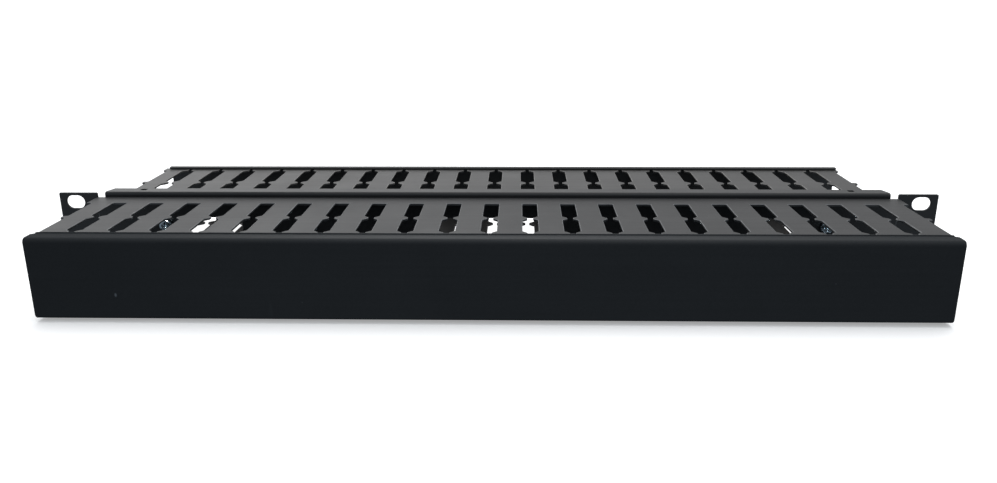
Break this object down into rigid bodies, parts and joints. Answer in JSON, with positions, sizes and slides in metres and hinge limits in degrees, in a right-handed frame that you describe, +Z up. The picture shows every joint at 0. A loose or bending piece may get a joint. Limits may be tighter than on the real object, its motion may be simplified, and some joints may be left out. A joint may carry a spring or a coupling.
{
  "type": "horizontal cable manager",
  "caption": "One rack unit horizontal cable manager: black steel plate with slotted finger ducts front and rear, each closed by a press-on cover.",
  "frame": {"origin": "centre of the front face of the rack plate, midway between the four rack slots", "axes": "+X to the right along the plate seen from the front, +Y to the rear of the rack, +Z up"},
  "size_m": [0.4826, 0.1795, 0.0432],
  "materials": {
    "plate_coat": "satin black powder coat, fine texture",
    "duct_plastic": "satin black duct plastic with faint lines along its length",
    "rear_duct_plastic": "satin black duct plastic, slightly warmer than the front",
    "cover_plastic": "satin black cover plastic, slightly blue",
    "fastener": "bright bluish zinc plated steel"
  },
  "bodies": {
    "manager": {"rack_plate": "plate_coat", "front_duct": "duct_plastic", "rear_duct": "rear_duct_plastic", "screw_1": "fastener", "nut_1": "fastener", "screw_2": "fastener", "nut_2": "fastener", "screw_3": "fastener", "nut_3": "fastener", "screw_4": "fastener", "nut_4": "fastener"},
    "front_lid": {"front_cover": "cover_plastic"},
    "rear_lid": {"rear_cover": "rear_duct_plastic"}
  },
  "joints": [
    {"name": "front_cover_pull", "type": "slide", "parent": "manager", "child": "front_lid", "axis": [0, -1, 0], "range_m": [0, 0.05]},
    {"name": "rear_cover_pull", "type": "slide", "parent": "manager", "child": "rear_lid", "axis": [0, 1, 0], "range_m": [0, 0.05]}
  ]
}
